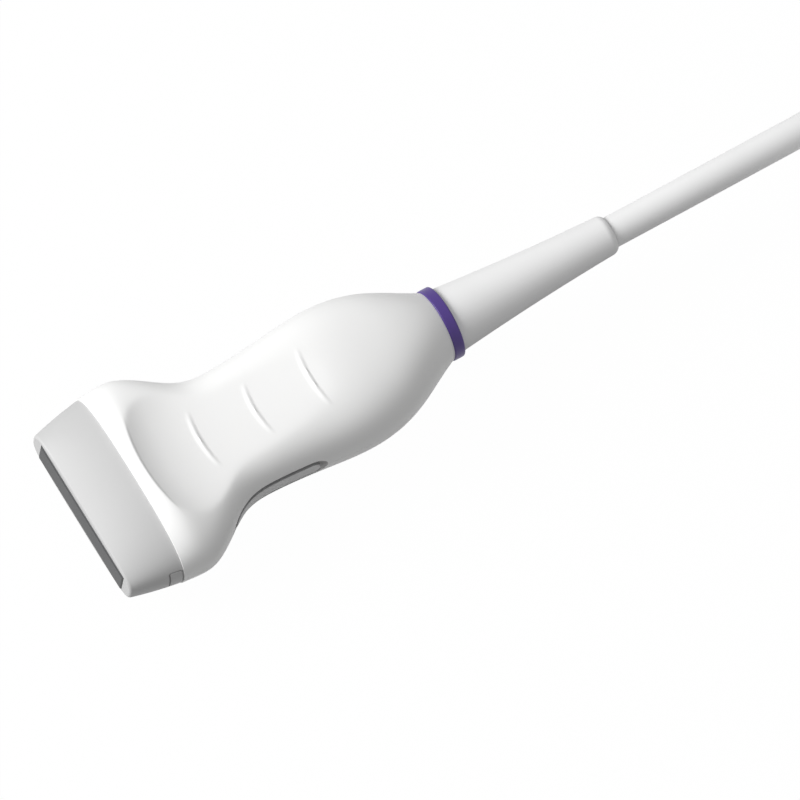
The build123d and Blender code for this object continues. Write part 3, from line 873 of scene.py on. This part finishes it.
def strap_tree(material):
    """Geometry tree of one strap: a band round a rounded loop, with woven ribs across it."""
    tree = bpy.data.node_groups.new("strap", "GeometryNodeTree")
    face = tree.interface
    face.new_socket("Geometry", in_out="OUTPUT", socket_type="NodeSocketGeometry")
    for name in ("Loop Width", "Loop Height", "Corner", "Band Width", "Thickness"):
        face.new_socket(name, in_out="INPUT", socket_type="NodeSocketFloat")
    face.new_socket("Ribs", in_out="INPUT", socket_type="NodeSocketInt")
    given = tree.nodes.new("NodeGroupInput").outputs
    loop = tree.nodes.new("GeometryNodeCurvePrimitiveQuadrilateral")
    rounded = tree.nodes.new("GeometryNodeFilletCurve")
    rounded.mode = "POLY"
    rounded.inputs["Count"].default_value = STRAP_CORNER_POINTS
    band = tree.nodes.new("GeometryNodeCurvePrimitiveQuadrilateral")
    sweep = tree.nodes.new("GeometryNodeCurveToMesh")
    link_chain(
        tree,
        given["Loop Width"], loop.inputs["Width"],
        given["Loop Height"], loop.inputs["Height"],
        loop.outputs["Curve"], rounded.inputs["Curve"],
        given["Corner"], rounded.inputs["Radius"],
        given["Thickness"], band.inputs["Width"],
        given["Band Width"], band.inputs["Height"],
        rounded.outputs["Curve"], sweep.inputs["Curve"],
        band.outputs["Curve"], sweep.inputs["Profile Curve"],
    )
    places = tree.nodes.new("GeometryNodeCurveToPoints")
    rib = tree.nodes.new("GeometryNodeMeshCube")
    size = tree.nodes.new("ShaderNodeCombineXYZ")
    height = math_node(tree, "MULTIPLY", RIB_HEIGHT)
    pitch = math_node(tree, "MULTIPLY", RIB_PITCH)
    length = math_node(tree, "MULTIPLY", RIB_LENGTH)
    repeat = tree.nodes.new("GeometryNodeInstanceOnPoints")
    link_chain(
        tree,
        rounded.outputs["Curve"], places.inputs["Curve"],
        given["Ribs"], places.inputs["Count"],
        given["Thickness"], height.inputs[0],
        given["Thickness"], pitch.inputs[0],
        given["Band Width"], length.inputs[0],
        height.outputs["Value"], size.inputs["X"],
        length.outputs["Value"], size.inputs["Y"],
        pitch.outputs["Value"], size.inputs["Z"],
        size.outputs["Vector"], rib.inputs["Size"],
        places.outputs["Points"], repeat.inputs["Points"],
        places.outputs["Rotation"], repeat.inputs["Rotation"],
        rib.outputs["Mesh"], repeat.inputs["Instance"],
    )
    joined = tree.nodes.new("GeometryNodeJoinGeometry")
    real = tree.nodes.new("GeometryNodeRealizeInstances")
    painted = tree.nodes.new("GeometryNodeSetMaterial")
    painted.inputs["Material"].default_value = material
    result = tree.nodes.new("NodeGroupOutput")
    link_chain(
        tree,
        sweep.outputs["Mesh"], joined.inputs["Geometry"],
        repeat.outputs["Instances"], joined.inputs["Geometry"],
        joined.outputs["Geometry"], real.inputs["Geometry"],
        real.outputs["Geometry"], painted.inputs["Geometry"],
        painted.outputs["Geometry"], result.inputs["Geometry"],
    )
    return tree


def baked_piece(name, tree, values):
    """Plain mesh object made by a geometry tree with the given input values."""
    holder = bpy.data.objects.new(name, bpy.data.meshes.new(name))
    bpy.context.scene.collection.objects.link(holder)
    modifier = holder.modifiers.new(name, "NODES")
    modifier.node_group = tree
    for item in tree.interface.items_tree:
        if item.in_out == "INPUT":
            modifier[item.identifier] = values[item.name]
    seen = holder.evaluated_get(bpy.context.evaluated_depsgraph_get())
    mesh = bpy.data.meshes.new_from_object(seen)
    holder.modifiers.remove(modifier)
    holder.data = mesh
    return holder


class PROBE_OT_straps(Operator):
    """Make the woven straps that hold the hank"""

    bl_idname = "probe.straps"
    bl_label = "Straps"

    def execute(self, context):
        cable = context.scene.probe_cable
        material = woven_strap("strap_weave", context.scene.probe_finishes.strap)
        half = cable.strap_thickness / 2
        values = {
            "Loop Width": STRAPS_HIGH.y - STRAPS_LOW.y - cable.strap_thickness,
            "Loop Height": STRAPS_HIGH.z - STRAPS_LOW.z - cable.strap_thickness,
            "Corner": cable.diameter / 2 + half,
            "Band Width": cable.strap_width,
            "Thickness": cable.strap_thickness,
            "Ribs": cable.strap_ribs,
        }
        piece = baked_piece("cable_straps", strap_tree(material), values)
        middle = (STRAPS_LOW + STRAPS_HIGH) / 2
        upright = Matrix(((0, 0, 1), (1, 0, 0), (0, 1, 0))).to_4x4()
        meshes = []
        for x in (STRAPS_LOW.x + cable.strap_width / 2, STRAPS_HIGH.x - cable.strap_width / 2):
            mesh = piece.data.copy()
            mesh.transform(Matrix.Translation((x, middle.y, middle.z)) @ upright)
            meshes.append(mesh)
        piece.data = meshes[0]
        other = bpy.data.objects.new("second_strap", meshes[1])
        context.scene.collection.objects.link(other)
        with context.temp_override(active_object=piece, selected_editable_objects=[piece, other]):
            bpy.ops.object.join()
        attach(piece, ROOT)
        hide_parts("cable_ties")
        return {"FINISHED"}


class PROBE_OT_plug(Operator):
    """Finish the plug on the far end of the cable"""

    bl_idname = "probe.plug"
    bl_label = "Plug"

    def execute(self, context):
        finishes = context.scene.probe_finishes
        shell = moulded_plastic("plug_plastic", finishes.plug, 0.45)
        steel = bare_metal("shroud_steel", (0.5, 0.51, 0.53), 0.35, (1.0, 6.0, 6.0))
        for node, material in (
            ("plug_lower_shell", shell),
            ("plug_upper_shell", shell),
            ("plug_boot", soft_rubber("plug_boot_rubber", finishes.boot)),
            ("plug_shroud", steel),
            ("plug_screws", steel),
            ("contact_block", moulded_plastic("block_plastic", (0.012, 0.012, 0.013), 0.5)),
            ("contact_pins", bare_metal("contact_gold", (0.75, 0.5, 0.16), 0.28, (1.0, 4.0, 4.0))),
        ):
            finish_node(node, material)
        return {"FINISHED"}


def seen_rays(tree):
    """Socket that is 1 where the camera, a gloss or a glass looks at a surface."""
    rays = tree.nodes.new("ShaderNodeLightPath").outputs
    seen = math_node(tree, "MAXIMUM")
    through = math_node(tree, "MAXIMUM")
    link_chain(
        tree,
        rays["Is Camera Ray"], seen.inputs[0],
        rays["Is Glossy Ray"], seen.inputs[1],
        seen.outputs["Value"], through.inputs[0],
        rays["Is Transmission Ray"], through.inputs[1],
    )
    return through.outputs["Value"]


def show_white(tree, seen, share, surface, white, output):
    """Mixes plain white into a surface where it is seen."""
    part = math_node(tree, "MULTIPLY", share)
    mix = tree.nodes.new("ShaderNodeMixShader")
    link_chain(
        tree,
        seen, part.inputs[0],
        part.outputs["Value"], mix.inputs["Fac"],
        surface.outputs[0], mix.inputs[1],
        white.outputs[0], mix.inputs[2],
        mix.outputs["Shader"], output.inputs["Surface"],
    )


def lay_floor(stage):
    """Pale floor that shows white and keeps the object's shadow."""
    mesh = bpy.data.meshes.new("floor")
    corners = [(x * FLOOR_HALF, y * FLOOR_HALF, 0) for x, y in ((-1, -1), (1, -1), (1, 1), (-1, 1))]
    mesh.from_pydata(corners, [], [(0, 1, 2, 3)])
    material, tree, shader = new_material("floor_paper")
    shader.inputs["Roughness"].default_value = 0.9
    seen = seen_rays(tree)
    paper = add_node(tree, "ShaderNodeMapRange", To_Min=stage.floor_bounce, To_Max=PAPER_WHITE)
    link_chain(tree, seen, paper.inputs["Value"], paper.outputs["Result"], shader.inputs["Base Color"])
    white = add_node(tree, "ShaderNodeEmission", Color=(1, 1, 1, 1), Strength=1.0)
    show_white(tree, seen, stage.floor_white, shader, white, tree.nodes["Material Output"])
    mesh.materials.append(material)
    floor = bpy.data.objects.new("floor", mesh)
    bpy.context.scene.collection.objects.link(floor)


def light_world(stage):
    """Even light all round, and plain white behind the floor."""
    world = bpy.data.worlds.new("studio")
    world.use_nodes = True
    tree = world.node_tree
    background = tree.nodes["Background"]
    background.inputs["Color"].default_value = (1, 1, 1, 1)
    background.inputs["Strength"].default_value = stage.world_strength
    white = add_node(tree, "ShaderNodeBackground", Color=(1, 1, 1, 1), Strength=1.0)
    show_white(tree, seen_rays(tree), 1.0, background, white, tree.nodes["World Output"])
    bpy.context.scene.world = world


def add_lamp(name, place, power, size):
    """Square soft lamp that faces the handle."""
    light = bpy.data.lights.new(name, "AREA")
    light.energy = power
    light.size = size
    lamp = bpy.data.objects.new(name, light)
    lamp.location = place
    lamp.rotation_mode = "QUATERNION"
    lamp.rotation_quaternion = (RING_MIDDLE - Vector(place)).to_track_quat("-Z", "Y")
    bpy.context.scene.collection.objects.link(lamp)


def aim_camera(stage):
    """Camera at the photograph's viewing angle."""
    front, side = stage.front_tilt, stage.side_tilt
    across = math.cos(side) * SIDE_WAY - math.sin(side) * UP_WAY
    raised = math.sin(side) * SIDE_WAY + math.cos(side) * UP_WAY
    back = math.sin(front) * NOSE_WAY + math.cos(front) * raised
    along = math.sin(front) * raised - math.cos(front) * NOSE_WAY
    right = math.cos(stage.roll) * along + math.sin(stage.roll) * across
    up = math.sin(stage.roll) * along - math.cos(stage.roll) * across
    target = RING_MIDDLE + stage.aim[0] * along + stage.aim[1] * across
    camera = bpy.data.objects.new("camera", bpy.data.cameras.new("camera"))
    camera.data.lens = stage.focal_length
    camera.data.clip_start = 0.05
    turn = Matrix((right, up, back)).transposed().to_4x4()
    camera.matrix_world = Matrix.Translation(target + stage.distance * back) @ turn
    bpy.context.scene.collection.objects.link(camera)
    bpy.context.scene.camera = camera


class PROBE_OT_stage(Operator):
    """Set up the floor, light and camera"""

    bl_idname = "probe.stage"
    bl_label = "Stage"

    def execute(self, context):
        stage = context.scene.probe_stage
        lay_floor(stage)
        light_world(stage)
        add_lamp("key", KEY_PLACE, stage.key_power, KEY_SIZE)
        aim_camera(stage)
        context.scene.view_settings.view_transform = "Standard"
        return {"FINISHED"}


class PROBE_PT_panel(Panel):
    """Sidebar panel with the probe's sizes, colours and build steps"""

    bl_idname = "PROBE_PT_panel"
    bl_label = "Ultrasound Probe"
    bl_space_type = "VIEW_3D"
    bl_region_type = "UI"
    bl_category = "Probe"

    def draw(self, context):
        layout = self.layout
        for group in (getattr(context.scene, name) for name in GROUPS):
            column = layout.column(align=True)
            for name in group.__annotations__:
                column.prop(group, name)
        for operator in OPERATORS:
            layout.operator(operator.bl_idname)


OPERATORS = (
    PROBE_OT_stage,
    PROBE_OT_handle,
    PROBE_OT_nose,
    PROBE_OT_neck,
    PROBE_OT_inside,
    PROBE_OT_straps,
    PROBE_OT_cable,
    PROBE_OT_plug,
)
GROUPS = {
    "probe_handle": ProbeHandle,
    "probe_cable": ProbeCable,
    "probe_finishes": ProbeFinishes,
    "probe_stage": ProbeStage,
}


def register():
    for group in GROUPS.values():
        bpy.utils.register_class(group)
    for kind in (*OPERATORS, PROBE_PT_panel):
        bpy.utils.register_class(kind)
    for name, group in GROUPS.items():
        setattr(bpy.types.Scene, name, PointerProperty(type=group))


def unregister():
    for name in GROUPS:
        delattr(bpy.types.Scene, name)
    for kind in reversed((*GROUPS.values(), *OPERATORS, PROBE_PT_panel)):
        bpy.utils.unregister_class(kind)


def main():
    register()
    bpy.ops.probe.stage()
    bpy.ops.probe.handle()
    bpy.ops.probe.nose()
    bpy.ops.probe.neck()
    bpy.ops.probe.inside()
    bpy.ops.probe.straps()
    bpy.ops.probe.cable()
    bpy.ops.probe.plug()


if __name__ == "__main__":
    main()
